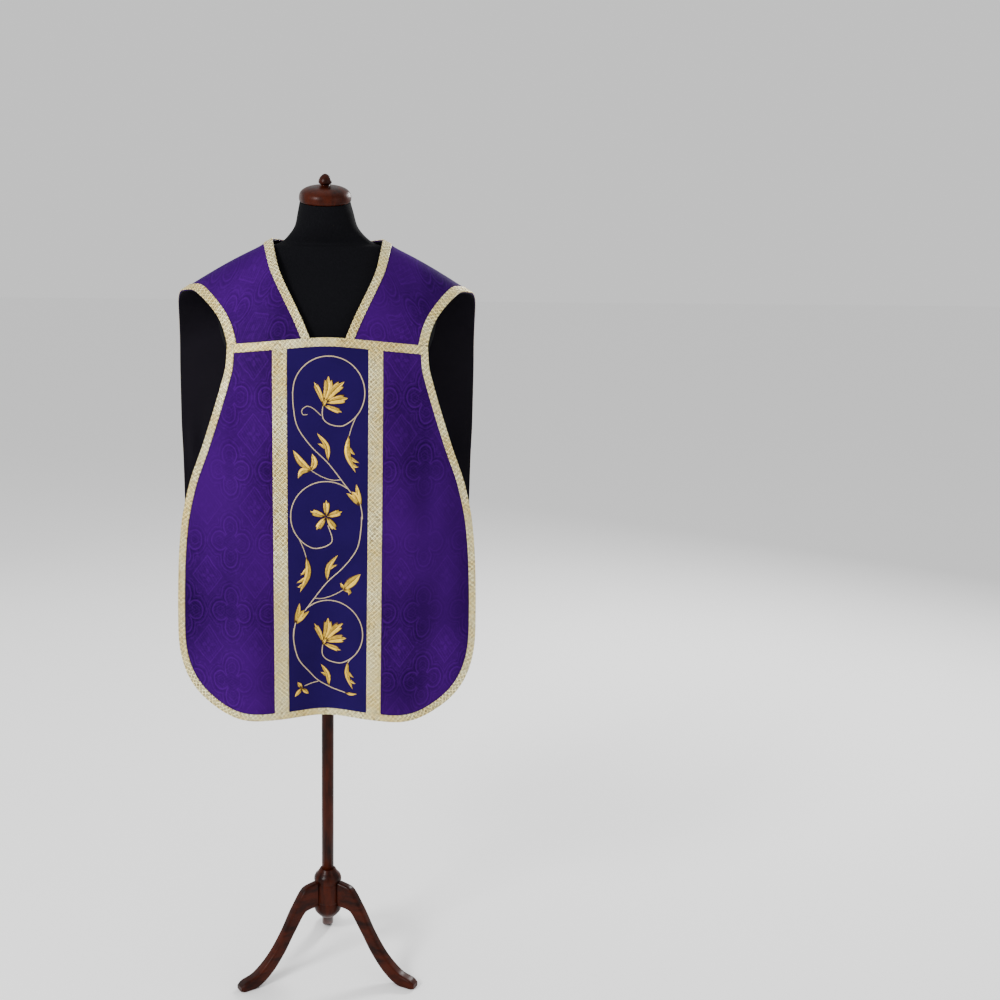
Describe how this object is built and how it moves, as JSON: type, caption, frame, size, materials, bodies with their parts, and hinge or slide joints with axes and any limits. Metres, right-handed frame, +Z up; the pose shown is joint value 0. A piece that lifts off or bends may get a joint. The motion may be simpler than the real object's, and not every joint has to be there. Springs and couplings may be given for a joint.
{
  "type": "fiddleback chasuble on a dress form",
  "caption": "Violet fiddleback chasuble with gold braid, a front column and a back cross, worn open-sided by a limbless black dress form on a wooden tripod.",
  "frame": {"origin": "on the floor, below the middle of the bounding box", "axes": "+Z up; -Y the way the wearer faces; +X the wearer's left"},
  "size_m": [0.6126, 0.3838, 1.6991],
  "materials": {
    "damask": "violet silk damask, soft satin sheen, tone-on-tone pattern",
    "lining": "near-black smooth lining, low sheen",
    "orphrey": "matt dark blue-violet ground with raised gold satin-stitch scrollwork",
    "gold_braid": "woven pale gold galloon with a lozenge interlace, metallic thread",
    "form_jersey": "matt black jersey",
    "turned_wood": "red-brown polished wood"
  },
  "bodies": {
    "root": {"back": "damask", "front": "damask", "back_lining": "lining", "front_column": "orphrey", "back_cross": "orphrey", "chest_band": "gold_braid", "front_galloon_right": "gold_braid", "front_galloon_left": "gold_braid", "front_edging": "gold_braid", "cross_galloon_right": "gold_braid", "cross_galloon_left": "gold_braid", "neck_edging_back": "gold_braid", "neck_edging_right": "gold_braid", "neck_edging_left": "gold_braid", "back_edging": "gold_braid", "form_body": "form_jersey", "neck_cap": "turned_wood", "pole": "turned_wood", "hub": "turned_wood", "leg_right": "turned_wood", "leg_left": "turned_wood", "leg_back": "turned_wood"}
  },
  "joints": []
}
